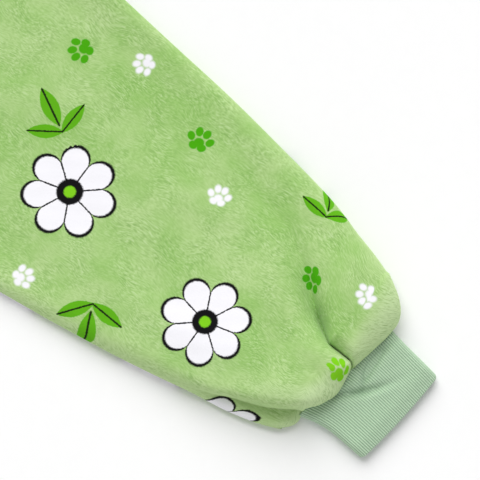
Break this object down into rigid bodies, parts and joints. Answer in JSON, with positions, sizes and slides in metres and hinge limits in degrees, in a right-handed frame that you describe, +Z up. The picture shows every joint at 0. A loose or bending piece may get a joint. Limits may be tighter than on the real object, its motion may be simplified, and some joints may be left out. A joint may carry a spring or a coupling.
{
  "type": "blanket hoodie",
  "caption": "Oversized plush blanket hoodie laid flat, front up, with full sleeves gathered into rib knit cuffs and a hood spread above the neck.",
  "frame": {"origin": "middle of the whole outline, on the surface the garment lies on", "axes": "+X along the wearer's left sleeve towards its cuff, +Y from hem to hood, +Z up out of the front of the garment"},
  "size_m": [1.98, 1.26, 0.0379],
  "materials": {
    "printed_plush": "light green plush fleece with a soft nap and a scattered print",
    "rib_knit": "sage green rib knit"
  },
  "bodies": {
    "root": {"body_front": "printed_plush", "body_back": "printed_plush", "sleeve_left": "printed_plush", "sleeve_right": "printed_plush", "cuff_left": "rib_knit", "cuff_right": "rib_knit", "hood_left": "printed_plush", "hood_right": "printed_plush"}
  },
  "joints": []
}
